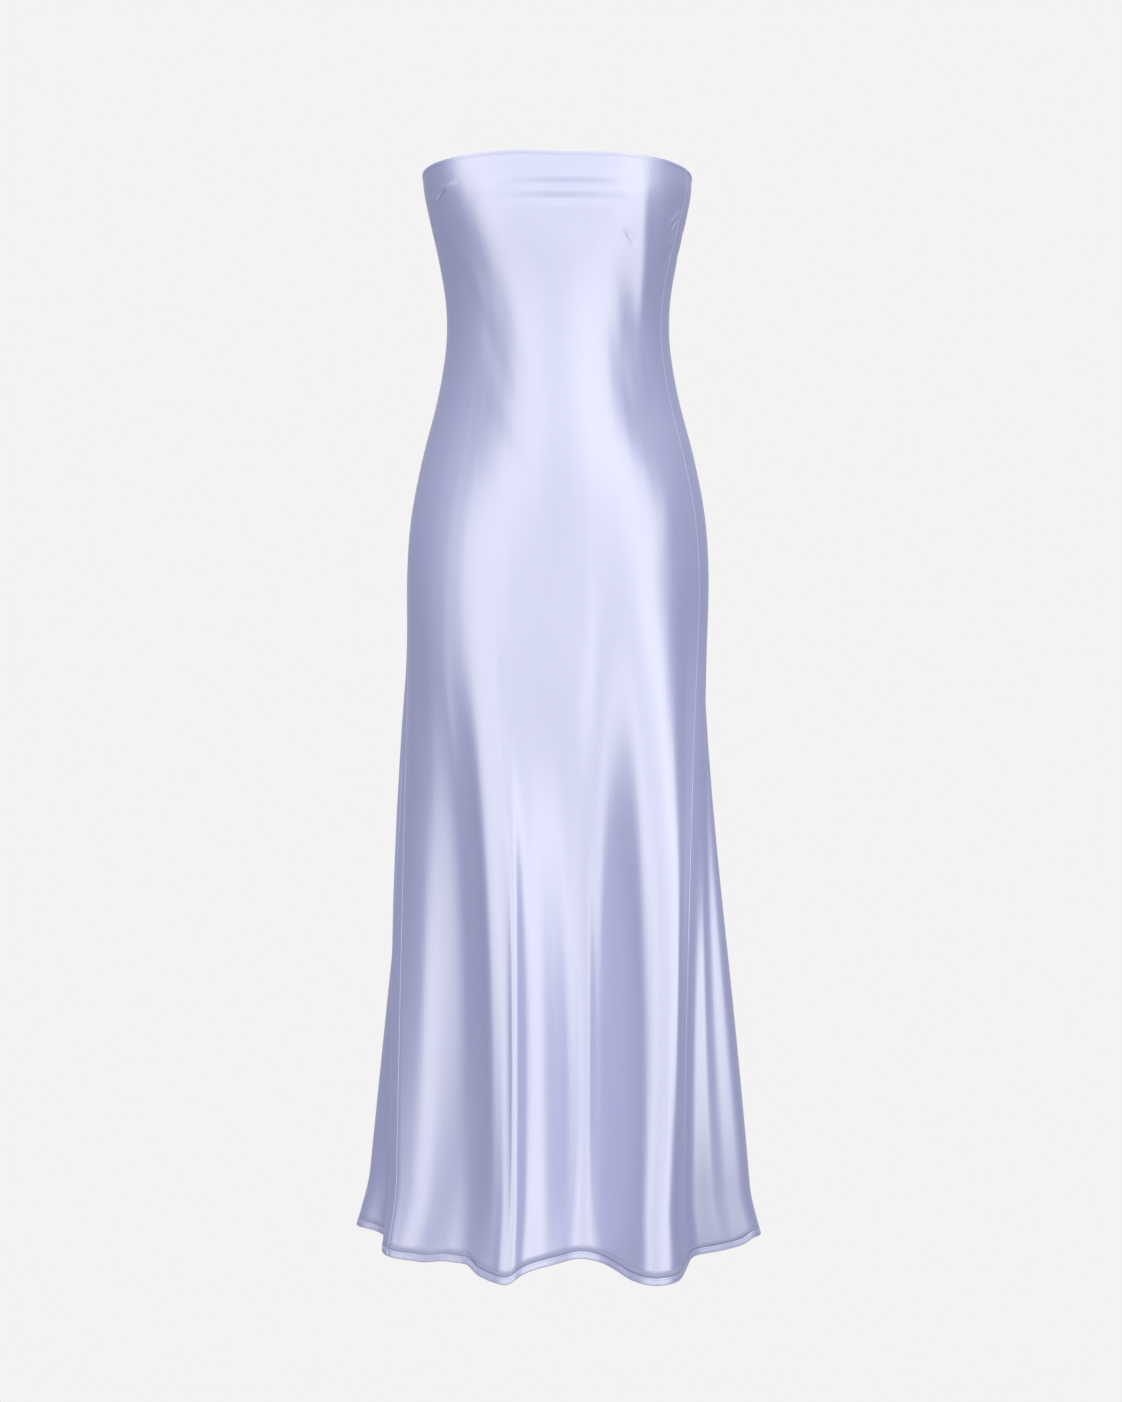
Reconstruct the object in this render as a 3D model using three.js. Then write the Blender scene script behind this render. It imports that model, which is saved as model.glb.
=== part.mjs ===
// A strapless, full-length satin slip dress, hollow and filled out as if worn, in millimetres.
// +Z is up, the front faces -Y and +X is the viewer's right. The origin is the middle of the body
// at the bust line, where the dress grips its wearer. Front and back panels meet at the side seams,
// and each ends in a narrow turned hem.
import * as THREE from "three";

const TOP = 40; // the front's top edge, above the bust line
const HEM = -1161; // the hem, before its unevenness
const MID = -700; // a height on the folds' way down
const LIFT_HEIGHT = 300; // the hem's unevenness fades out this far up
const WALL = 1.5; // thickness of the cloth as it is modelled
const SEAM_GAP = 0.35; // between two pieces that are sewn together
const HEM_DEPTH = 7; // height of the turned hem
const HEM_PROUD = 0.4; // the folded hem stands this far out of the panel
const HEM_WALL = 2.6; // thickness of the folded hem
const HEM_KICK = 0.045; // near the hem the sides swing out by this share of their distance
const KICK_HEIGHT = 80; // over this height
const SIDE_DIP = 8; // the top edge is this much lower under the arms
const BACK_DIP = 12; // and this much lower again at the back
const EDGE_WAVE = { rise: 2, girth: -26, spread: 22 }; // a slight lift in the front's top edge
const FOLD_SOFTNESS = 0.07; // how gently a fold begins, as a share of its height
const FRONT_COLUMNS = 56;
const BACK_COLUMNS = 60;

// Horizontal sections of the filled-out body. half is half the width, front and back are the
// depths from the side seams' plane, and square is the exponent of the rounded outline.
const SECTIONS = [
  { z: 44, half: 151.5, front: 97, back: 82, square: 2.8 },
  { z: 16, half: 149.5, front: 101, back: 86, square: 2.5 },
  { z: -14, half: 143.5, front: 104, back: 86, square: 2.15 },
  { z: -59, half: 133.3, front: 104.5, back: 80, square: 1.85 },
  { z: -104, half: 125.6, front: 102, back: 72, square: 1.7 },
  { z: -140, half: 124, front: 101, back: 69, square: 1.66 },
  { z: -171, half: 126.6, front: 101, back: 71, square: 1.66 },
  { z: -216, half: 134.8, front: 102, back: 79, square: 1.68 },
  { z: -283, half: 152, front: 104.5, back: 98, square: 1.75 },
  { z: -350, half: 164.5, front: 107.5, back: 113, square: 1.85 },
  { z: -417, half: 168.8, front: 110, back: 119, square: 1.95 },
  { z: -507, half: 167.5, front: 111, back: 117, square: 2 },
  { z: -700, half: 167, front: 108, back: 108, square: 2.0 },
  { z: HEM, half: 167, front: 104, back: 104, square: 2.0 },
];

// The skirt's folds, once round from the left side seam. girth is the angle on the body where the
// line begins, 0 at the centre front and positive towards +X, and start is the height where it
// leaves the body. midX and midY are where it passes the height MID, hemX and hemY where it ends,
// and lift is how much higher than HEM the cloth ends there.
const FOLDS = [
  { name: "left seam", girth: -90, start: -480, midX: -171.5, midY: -18, hemX: -177, hemY: -80, lift: 4 },
  { name: "side edge", girth: -80, start: -480, midX: -158, midY: -39, hemX: -165, hemY: -88, lift: 3 },
  { name: "side flute", girth: -69, start: -520, midX: -132, midY: -59.5, hemX: -146, hemY: -99, lift: 3 },
  { name: "side valley", girth: -60, start: -500, midX: -109, midY: -72, hemX: -118, hemY: -114, lift: 8 },
  { name: "left foot", girth: -54, start: -480, midX: -98, midY: -83, hemX: -97, hemY: -128, lift: 8 },
  { name: "left flank", girth: -49, start: -480, midX: -86, midY: -97, hemX: -81, hemY: -143, lift: -1 },
  { name: "left edge", girth: -42, start: -480, midX: -71, midY: -108, hemX: -65, hemY: -157, lift: -5 },
  { name: "left flute", girth: -31, start: -480, midX: -50, midY: -116, hemX: -50, hemY: -166, lift: -6 },
  { name: "left turn", girth: -23, start: -560, midX: -36, midY: -118.5, hemX: -35, hemY: -163, lift: -4 },
  { name: "left throat", girth: -18, start: -560, midX: -25, midY: -114.5, hemX: -23, hemY: -156, lift: 2 },
  { name: "terrace", girth: -12, start: -560, midX: -14, midY: -109.5, hemX: -8, hemY: -147, lift: 8 },
  { name: "centre slope", girth: -3, start: -560, midX: 5, midY: -102, hemX: 8, hemY: -138, lift: 11 },
  { name: "centre valley", girth: 9, start: -560, midX: 27, midY: -96.5, hemX: 23, hemY: -131, lift: 13 },
  { name: "right foot", girth: 21, start: -500, midX: 48, midY: -100, hemX: 40, hemY: -137, lift: 11 },
  { name: "right flank", girth: 31, start: -480, midX: 70, midY: -113, hemX: 58, hemY: -151, lift: 6 },
  { name: "right edge", girth: 41, start: -460, midX: 91, midY: -130, hemX: 76, hemY: -168, lift: -1 },
  { name: "right flute", girth: 51, start: -450, midX: 110, midY: -139, hemX: 99, hemY: -183, lift: -3 },
  { name: "right turn", girth: 61, start: -460, midX: 124, midY: -135, hemX: 117, hemY: -175, lift: -2 },
  { name: "right end", girth: 69, start: -480, midX: 133, midY: -129, hemX: 128, hemY: -150, lift: 2 },
  { name: "right seam", girth: 75, start: -480, midX: 142.3, midY: -121, hemX: 134, hemY: -124, lift: 7 },
  { name: "right hollow", girth: 80, start: -480, midX: 150, midY: -113, hemX: 143, hemY: -103, lift: 10 },
  { name: "right side", girth: 87, start: -480, midX: 157, midY: -105, hemX: 167, hemY: -84, lift: 12 },
  { name: "right bend", girth: 95, start: -450, midX: 162, midY: -98, hemX: 194, hemY: -68, lift: 15 },
  { name: "right tip", girth: 103, start: -430, midX: 170, midY: -89, hemX: 212, hemY: -55, lift: 23 },
  { name: "right tip back", girth: 112, start: -450, midX: 171, midY: -48, hemX: 216, hemY: -25, lift: 21 },
  { name: "back valley 1", girth: 121, start: -520, midX: 164, midY: 24, hemX: 192, hemY: 32, lift: 12 },
  { name: "back flute 1", girth: 133, start: -480, midX: 122, midY: 104, hemX: 150, hemY: 124, lift: 6 },
  { name: "back valley 2", girth: 147, start: -560, midX: 86, midY: 98, hemX: 102, hemY: 104, lift: 8 },
  { name: "back flute 2", girth: 160, start: -460, midX: 50, midY: 128, hemX: 60, hemY: 170, lift: 4 },
  { name: "back valley 3", girth: 176, start: -600, midX: 10, midY: 110, hemX: 12, hemY: 116, lift: 7 },
  { name: "back flute 3", girth: 191, start: -450, midX: -34, midY: 130, hemX: -38, hemY: 178, lift: 4 },
  { name: "back valley 4", girth: 206, start: -570, midX: -73, midY: 102, hemX: -82, hemY: 110, lift: 8 },
  { name: "back flute 4", girth: 220, start: -470, midX: -110, midY: 112, hemX: -126, hemY: 156, lift: 5 },
  { name: "back valley 5", girth: 233, start: -520, midX: -143, midY: 82, hemX: -164, hemY: 100, lift: 10 },
  { name: "left tip back", girth: 243, start: -450, midX: -166, midY: 60, hemX: -198, hemY: 70, lift: 14 },
  { name: "left tip", girth: 252, start: -430, midX: -174, midY: 22, hemX: -216, hemY: 14, lift: 16 },
  { name: "left bend", girth: 259, start: -450, midX: -175, midY: 6, hemX: -203, hemY: 5, lift: 15 },
  { name: "side throat", girth: 264, start: -480, midX: -174, midY: -6, hemX: -189, hemY: -6, lift: 12 },
];
const SEAM_FOLDS = ["left seam", "right seam"];

// Soft forms in the bodice, raised or sunk along the body's outward direction. across and up are
// their half widths, as an angle round the body and as a height.
const FORMS = [
  { name: "left cup", girth: -40, z: -34, across: 24, up: 46, height: 5 },
  { name: "right cup", girth: 42, z: -24, across: 22, up: 48, height: 4 },
  { name: "front drape ridge 1", girth: 4, z: 13, across: 24, up: 5, height: 1.6 },
  { name: "front drape trough 1", girth: 5, z: 5, across: 24, up: 4.5, height: -2.2 },
  { name: "front drape ridge 2", girth: 3, z: -3, across: 23, up: 5, height: 1.6 },
  { name: "front drape trough 2", girth: 2, z: -11, across: 22, up: 4.5, height: -2.2 },
  { name: "front drape ridge 3", girth: 3, z: -19, across: 20, up: 8, height: 0.8 },
  { name: "right edge fall", girth: 66, z: 38, across: 20, up: 24, height: -6 },
  { name: "right rib fullness", girth: 57, z: -85, across: 15, up: 55, height: 3.5 },
  { name: "right waist hollow", girth: 46, z: -175, across: 10, up: 60, height: -2 },
  { name: "right belly hollow", girth: 56, z: -245, across: 15, up: 55, height: -4 },
  { name: "left waist hollow", girth: -46, z: -160, across: 22, up: 70, height: -2 },
  { name: "left belly hollow", girth: -56, z: -260, across: 22, up: 80, height: -6 },
  { name: "belly fullness", girth: 6, z: -290, across: 27, up: 90, height: 8 },
  { name: "right hip fullness", girth: 50, z: -330, across: 26, up: 110, height: 5 },
];

// Heights of the grid's rows. Both panels share the rows below the bust, so that they meet evenly,
// and the front has more of them above, across its draped creases.
const FRONT_TOP_ROWS = [40, 33, 25.5, 19.5, 15.5, 12, 8.5, 5, 1.5, -2, -5.5, -9, -12.5, -16.5, -22.5, -33];
const BACK_TOP_ROWS = [40, 18, -14];
const SHARED_ROWS = [
  -48, -72, -98, -122, -146, -172, -205, -242, -283, -330, -380, -430, -480, -530, -580, -635,
  -700, -775, -855, -935, -1005, -1060, -1100, -1130,
];

const RADIANS = Math.PI / 180;

// A value of a table of sections at a height, on a smooth curve through its rows.
function atHeight(rows, key, z) {
  let i = rows.findIndex((row) => row.z <= z);
  if (i <= 0) return rows[i === 0 ? 0 : rows.length - 1][key];
  i -= 1;
  const slope = (k) => {
    const a = rows[Math.max(k - 1, 0)];
    const b = rows[Math.min(k + 1, rows.length - 1)];
    return (b[key] - a[key]) / (b.z - a.z);
  };
  const [low, high] = [rows[i], rows[i + 1]];
  const span = high.z - low.z;
  const t = (z - low.z) / span;
  const drift = t * (1 - t);
  return (
    low[key] * (1 - t) * (1 - t) * (1 + 2 * t) +
    high[key] * t * t * (3 - 2 * t) +
    span * drift * ((1 - t) * slope(i) - t * slope(i + 1))
  );
}

// Distance along the hem to each fold, measured straight from fold to fold.
const foldPlaces = [0];
for (let i = 0; i < FOLDS.length; i += 1) {
  const next = FOLDS[(i + 1) % FOLDS.length];
  const step = Math.hypot(next.hemX - FOLDS[i].hemX, next.hemY - FOLDS[i].hemY);
  foldPlaces.push(foldPlaces[i] + step);
}
const HEM_ROUND = foldPlaces[FOLDS.length];

// The fold before a place on the hem, and how far the place is towards the next one.
function between(s) {
  const rounds = Math.floor(s / HEM_ROUND);
  const place = s - rounds * HEM_ROUND;
  let i = 0;
  while (i < FOLDS.length - 1 && foldPlaces[i + 1] <= place) i += 1;
  const span = foldPlaces[i + 1] - foldPlaces[i];
  return { i, rounds, span, t: (place - foldPlaces[i]) / span };
}

// A column of the folds' table as a closed curve with smooth bending.
function bendingCurve(key) {
  const n = FOLDS.length;
  const value = FOLDS.map((fold) => fold[key]);
  const span = FOLDS.map((_, i) => foldPlaces[i + 1] - foldPlaces[i]);
  const after = (i) => (i + 1) % n;
  const before = (i) => (i + n - 1) % n;
  let bend = new Array(n).fill(0);
  for (let round = 0; round < 60; round += 1) {
    bend = bend.map((_, i) => {
      const [low, high] = [span[before(i)], span[i]];
      const turn = (value[after(i)] - value[i]) / high - (value[i] - value[before(i)]) / low;
      return (6 * turn - low * bend[before(i)] - high * bend[after(i)]) / (2 * (low + high));
    });
  }
  return (s) => {
    const at = between(s);
    const [a, b] = [1 - at.t, at.t];
    const arch = (a * a * a - a) * bend[at.i] + (b * b * b - b) * bend[after(at.i)];
    return a * value[at.i] + b * value[after(at.i)] + (arch * at.span * at.span) / 6;
  };
}

// A column as a closed curve that never passes its own values. turn is what a whole round adds.
function steadyCurve(key, turn = 0) {
  const n = FOLDS.length;
  const value = (i) => FOLDS[i % n][key] + (i >= n ? turn : 0);
  const span = (i) => foldPlaces[i + 1] - foldPlaces[i];
  const rise = (i) => (value(i + 1) - value(i)) / span(i);
  const slope = (i) => {
    const [k, j] = [i % n, (i + n - 1) % n];
    if (rise(j) * rise(k) <= 0) return 0;
    const [w1, w2] = [2 * span(k) + span(j), span(k) + 2 * span(j)];
    return (w1 + w2) / (w1 / rise(j) + w2 / rise(k));
  };
  const slopes = FOLDS.map((_, i) => slope(i));
  return (s) => {
    const { i, rounds, span: wide, t } = between(s);
    const [u, drift] = [1 - t, wide * t * (1 - t)];
    const ends = value(i) * u * u * (1 + 2 * t) + value(i + 1) * t * t * (1 + 2 * u);
    return ends + drift * (u * slopes[i] - t * slopes[(i + 1) % n]) + rounds * turn;
  };
}

const girthAt = steadyCurve("girth", 360);
const startAt = steadyCurve("start");
const liftAt = steadyCurve("lift");
const midX = bendingCurve("midX");
const midY = bendingCurve("midY");
const hemX = bendingCurve("hemX");
const hemY = bendingCurve("hemY");

// Where the body's rounded outline lies at an angle and a height.
function bodyPoint(girth, z) {
  const angle = girth * RADIANS;
  const half = atHeight(SECTIONS, "half", z);
  const ahead = Math.cos(angle) >= 0;
  const depth = atHeight(SECTIONS, ahead ? "front" : "back", z);
  const square = atHeight(SECTIONS, "square", z);
  const power = ahead ? square : Math.max(square, 2); // the back is never pointed
  const reach =
    Math.abs(Math.sin(angle) / half) ** power + Math.abs(Math.cos(angle) / depth) ** power;
  let radius = reach ** (-1 / power);
  const turned = girth - 360 * Math.round(girth / 360);
  for (const form of FORMS) {
    const [across, up] = [(turned - form.girth) / form.across, (z - form.z) / form.up];
    radius += form.height * Math.exp(-across * across - up * up);
  }
  return [radius * Math.sin(angle), -radius * Math.cos(angle)];
}

// How far a fold has grown, from 0 where it starts to 1 at the hem.
function growth(start, z) {
  const share = (start - z) / (start - HEM);
  return (share + Math.hypot(share, FOLD_SOFTNESS)) / (1 + Math.hypot(1, FOLD_SOFTNESS));
}

// The height of the top edge at an angle round the body.
function topEdge(girth) {
  const turned = girth - 360 * Math.round(girth / 360);
  const side = Math.sin(turned * RADIANS) ** 6;
  const behind = Math.max(0, -Math.cos(turned * RADIANS));
  const wave = (turned - EDGE_WAVE.girth) / EDGE_WAVE.spread;
  const lift = EDGE_WAVE.rise * Math.exp(-wave * wave);
  return TOP + lift - SIDE_DIP * (behind > 0 ? 1 : side) - BACK_DIP * behind * behind;
}

// A point of the dress's outer face. s is the distance along the hem and z the height, where rows
// near the top follow the top edge.
function surface(s, z) {
  const girth = girthAt(s);
  const edge = THREE.MathUtils.smoothstep(z, -60, TOP);
  const low = THREE.MathUtils.smoothstep(-z, -HEM - LIFT_HEIGHT, -HEM);
  const height = z + (topEdge(girth) - TOP) * edge + liftAt(s) * low;
  const [bodyX, bodyY] = bodyPoint(girth, height);
  const grown = growth(startAt(s), height);
  const half = growth(startAt(s), MID);
  const body = ((half - grown) * (1 - grown)) / half;
  const mid = (grown * (1 - grown)) / (half * (1 - half));
  const hem = (grown * (grown - half)) / (1 - half);
  const kick = 1 + HEM_KICK * THREE.MathUtils.smoothstep(-height, -HEM - KICK_HEIGHT, -HEM);
  const x = (body * bodyX + mid * midX(s) + hem * hemX(s)) * kick;
  const y = body * bodyY + mid * midY(s) + hem * hemY(s);
  return new THREE.Vector3(x, y, height);
}

const STEP = 0.5; // for slopes, along the hem and in height
const slopeAlong = (s, z) => surface(s + STEP, z).sub(surface(s - STEP, z)).normalize();
function outward(s, z) {
  const up = surface(s, Math.min(z + STEP, TOP)).sub(surface(s, z - STEP));
  return slopeAlong(s, z).cross(up).normalize();
}

// A closed wall of cloth over a grid. from and to are its ends along the hem, proud is how far its
// outer face stands out of the surface, and thick is its thickness.
function wall({ from, to, columns, rows, proud = 0, thick = WALL }) {
  const positions = [];
  const wide = columns + 1;
  const tall = rows.length;
  for (const depth of [proud, proud - thick]) {
    for (const z of rows) {
      for (let i = 0; i < wide; i += 1) {
        const s = from + ((to - from) * i) / columns;
        const inset = i === 0 ? SEAM_GAP / 2 : i === columns ? -SEAM_GAP / 2 : 0;
        const point = surface(s, z)
          .addScaledVector(outward(s, z), depth)
          .addScaledVector(slopeAlong(s, z), inset);
        positions.push(point.x, point.y, point.z);
      }
    }
  }
  const index = [];
  const quad = (a, b, c, d) => index.push(a, b, c, a, c, d);
  const outer = (i, j) => j * wide + i;
  const inner = (i, j) => (tall + j) * wide + i;
  for (let j = 0; j < tall - 1; j += 1) {
    for (let i = 0; i < columns; i += 1) {
      quad(outer(i, j), outer(i, j + 1), outer(i + 1, j + 1), outer(i + 1, j));
      quad(inner(i, j), inner(i + 1, j), inner(i + 1, j + 1), inner(i, j + 1));
    }
    quad(outer(0, j), inner(0, j), inner(0, j + 1), outer(0, j + 1));
    quad(inner(columns, j), outer(columns, j), outer(columns, j + 1), inner(columns, j + 1));
  }
  const last = tall - 1;
  for (let i = 0; i < columns; i += 1) {
    quad(outer(i, 0), outer(i + 1, 0), inner(i + 1, 0), inner(i, 0));
    quad(outer(i, last), inner(i, last), inner(i + 1, last), outer(i + 1, last));
  }
  const geometry = new THREE.BufferGeometry();
  geometry.setAttribute("position", new THREE.Float32BufferAttribute(positions, 3));
  geometry.setIndex(index);
  geometry.computeVertexNormals();
  return geometry;
}

const satin = new THREE.MeshStandardMaterial({
  color: "#c3c6ec",
  roughness: 0.36,
  metalness: 0.25,
  side: THREE.DoubleSide,
});

const dress = new THREE.Group();
const add = (name, geometry) => {
  const mesh = new THREE.Mesh(geometry, satin.clone());
  mesh.name = name;
  dress.add(mesh);
};

const [leftSeam, rightSeam] = SEAM_FOLDS.map(
  (name) => foldPlaces[FOLDS.findIndex((fold) => fold.name === name)],
);
const FRONT = { from: leftSeam, to: rightSeam, columns: FRONT_COLUMNS };
const BACK = { from: rightSeam, to: leftSeam + HEM_ROUND, columns: BACK_COLUMNS };
const lowerRows = [...SHARED_ROWS, HEM + HEM_DEPTH + SEAM_GAP];
const hemFold = { rows: [HEM + HEM_DEPTH, HEM], proud: HEM_PROUD, thick: HEM_WALL };

add("front_panel", wall({ ...FRONT, rows: [...FRONT_TOP_ROWS, ...lowerRows] }));
add("back_panel", wall({ ...BACK, rows: [...BACK_TOP_ROWS, ...lowerRows] }));
add("front_hem", wall({ ...FRONT, ...hemFold }));
add("back_hem", wall({ ...BACK, ...hemFold }));

export default dress;
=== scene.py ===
import math

import bpy
import numpy as np
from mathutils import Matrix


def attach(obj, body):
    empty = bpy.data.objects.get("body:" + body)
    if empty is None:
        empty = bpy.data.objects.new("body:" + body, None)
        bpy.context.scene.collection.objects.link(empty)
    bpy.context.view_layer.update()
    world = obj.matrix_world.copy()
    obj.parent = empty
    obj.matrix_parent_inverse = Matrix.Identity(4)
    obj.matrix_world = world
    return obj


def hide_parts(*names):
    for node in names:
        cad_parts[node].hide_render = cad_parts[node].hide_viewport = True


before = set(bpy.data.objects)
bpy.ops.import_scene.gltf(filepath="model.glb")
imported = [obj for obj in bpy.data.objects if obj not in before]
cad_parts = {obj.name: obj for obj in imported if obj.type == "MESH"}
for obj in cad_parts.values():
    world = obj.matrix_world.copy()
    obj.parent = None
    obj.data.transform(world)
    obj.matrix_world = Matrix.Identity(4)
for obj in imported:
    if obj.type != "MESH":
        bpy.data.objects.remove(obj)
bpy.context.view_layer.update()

MM = 0.001
TOP = 40.0
MID = -700.0
HEM = -1161.0
WALL = 1.5
SEAM_GAP = 0.35
FOLD_SOFTNESS = 0.07
LIFT_HEIGHT = 300.0  # above the hem, where its rise and fall begins
KICK_HEIGHT = 80.0  # above the hem, where it begins to flare sideways
HEM_KICK = 0.045

# The top edge: its dips at the sides and behind, its wave, and the height where they die out.
SIDE_DIP = 8.0
BACK_DIP = 12.0
EDGE_WAVE = {"rise": 2.0, "girth": -26.0, "spread": 22.0}
EDGE_SHAPE_LOW = -60
EDGE_ROLL = {"height": 3.6, "proud": 0.5, "soft": 0.9}
EDGE_GROOVE = {"below_roll": 0.6, "sunk": 0.25, "wide": 1.0}

# The turned hem and its line of stitches.
HEM_DEPTH = 7.0
HEM_PROUD = 0.4
HEM_WALL = 2.6
NEEDLE = {"up": 5.6, "sunk": 0.28, "wide": 0.7}
HEM_ROWS = (HEM_DEPTH, 6.2, NEEDLE["up"], 5.0, 4.0, 2.4, 1.3)
HEM_PUCKER = {"height": 0.09, "beat": 1.9, "drift": 1.3, "sway": 17.0}
HEM_CALM = {"height": 24, "share": 0.6}  # creases lose this share of their height at the hem

# The side seams: how far they sink in and pucker, and the columns of a panel beside them.
SEAM = {"sunk": 0.25, "sunk_at_hem": 0.5, "wide": 1.3, "creases_from": 6}
SEAM_PUCKER = {"height": 0.16, "reach": 6.0, "clear": 2.0, "beat": 2.1, "drift": 1.7, "sway": 23.0}
SEAM_COLUMNS = (0.0, 0.7, 1.5, 2.6, 4.2, 5.8)

PROBE = 0.5  # the step with which slopes are felt out on the surface
CAP_ANGLES = (36, 72, 108, 144)  # facets of a rounded cloth edge
CAP_ROWS = len(CAP_ANGLES)

# Horizontal sections of the filled-out body.
SECTION_COLUMNS = ("z", "half", "front", "back", "square")
SECTIONS = [
    (44, 151.5, 97, 82, 2.8),
    (16, 149.5, 101, 86, 2.5),
    (-14, 143.5, 104, 86, 2.15),
    (-59, 133.3, 104.5, 80, 1.85),
    (-104, 125.6, 102, 72, 1.7),
    (-140, 124, 101, 69, 1.66),
    (-171, 126.6, 101, 71, 1.66),
    (-216, 134.8, 102, 79, 1.68),
    (-283, 152, 104.5, 98, 1.75),
    (-350, 164.5, 107.5, 113, 1.85),
    (-417, 168.8, 110, 119, 1.95),
    (-507, 167.5, 111, 117, 2),
    (-700, 167, 108, 108, 2.0),
    (HEM, 167, 104, 104, 2.0),
]

# The skirt's folds, once round from the left side seam.
FOLD_COLUMNS = ("name", "girth", "start", "midX", "midY", "hemX", "hemY", "lift")
FOLDS = [
    ("left seam", -90, -480, -171.5, -18, -177, -80, 4),
    ("side edge", -80, -480, -158, -39, -165, -88, 3),
    ("side flute", -68, -520, -130, -61.5, -143, -101.5, 3),
    ("side valley", -60.5, -530, -107, -77, -115, -121, 8),
    ("left foot", -56, -520, -98, -86, -96, -133, 8),
    ("left flank", -52, -520, -88, -98, -81, -146, -1),
    ("left edge", -46, -500, -76, -109, -66, -158.5, -5),
    ("left flute", -34, -480, -57, -117, -54, -167, -6),
    ("left turn", -29, -560, -50, -119.5, -47.5, -168.5, -4),
    ("left throat", -24.5, -560, -40.5, -115.5, -37.5, -162, 2),
    ("terrace", -16, -560, -23, -110, -20, -155, 8),
    ("centre slope", -5, -560, 1, -100.5, 2, -142.5, 11),
    ("centre valley", 9, -560, 26, -95.5, 22, -131.5, 13),
    ("right foot", 21, -450, 44, -98, 41, -137, 11),
    ("right flank", 30, -420, 62, -110, 58, -153, 6),
    ("right edge", 38, -410, 80, -126, 75, -169, -1),
    ("right flute", 49, -420, 103, -138, 97, -183, -3),
    ("right turn", 61, -440, 121, -136.5, 117, -175, -2),
    ("right end", 69, -480, 133, -129, 128, -150, 2),
    ("right seam", 75, -480, 142.3, -121, 134, -124, 7),
    ("right hollow", 80, -480, 150, -113, 141.5, -102, 10),
    ("right side", 87, -480, 157, -105, 167, -87, 12),
    ("right bend", 95, -450, 162, -98, 193, -71.5, 15),
    ("right tip", 103, -430, 170, -89, 212, -59.5, 23),
    ("right tip back", 112, -450, 171, -48, 216, -27, 21),
    ("back valley 1", 121, -520, 164, 24, 192, 32, 12),
    ("back flute 1", 133, -480, 122, 104, 150, 124, 6),
    ("back valley 2", 147, -560, 86, 98, 102, 104, 8),
    ("back flute 2", 160, -460, 50, 128, 60, 170, 4),
    ("back valley 3", 176, -600, 10, 110, 12, 116, 7),
    ("back flute 3", 191, -450, -34, 130, -38, 178, 4),
    ("back valley 4", 206, -570, -73, 102, -82, 110, 8),
    ("back flute 4", 220, -470, -110, 112, -126, 156, 5),
    ("back valley 5", 233, -520, -143, 82, -164, 100, 10),
    ("left tip back", 243, -450, -166, 60, -198, 70, 14),
    ("left tip", 252, -430, -174, 22, -216, 14, 16),
    ("left bend", 259, -450, -175, 6, -203, 5, 15),
    ("side throat", 264, -480, -174, -6, -189, -6, 12),
]

# Soft forms in the bodice, as bumps on the body: girth, z, half widths across and up, height.
FORMS = [
    (-40, -34, 24, 46, 5),
    (42, -24, 22, 48, 4),
    (4, 13, 24, 5, 1.6),
    (5, 5, 24, 4.5, -2.2),
    (3, -3, 23, 5, 1.6),
    (2, -11, 22, 4.5, -2.2),
    (3, -19, 20, 8, 0.8),
    (66, 38, 20, 24, -6),
    (57, -85, 15, 55, 3.5),
    (46, -175, 10, 60, -2),
    (56, -245, 15, 55, -4),
    (-46, -160, 22, 70, -2),
    (-56, -260, 22, 80, -6),
    (6, -290, 27, 90, 8),
    (50, -330, 26, 110, 5),
]

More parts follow.
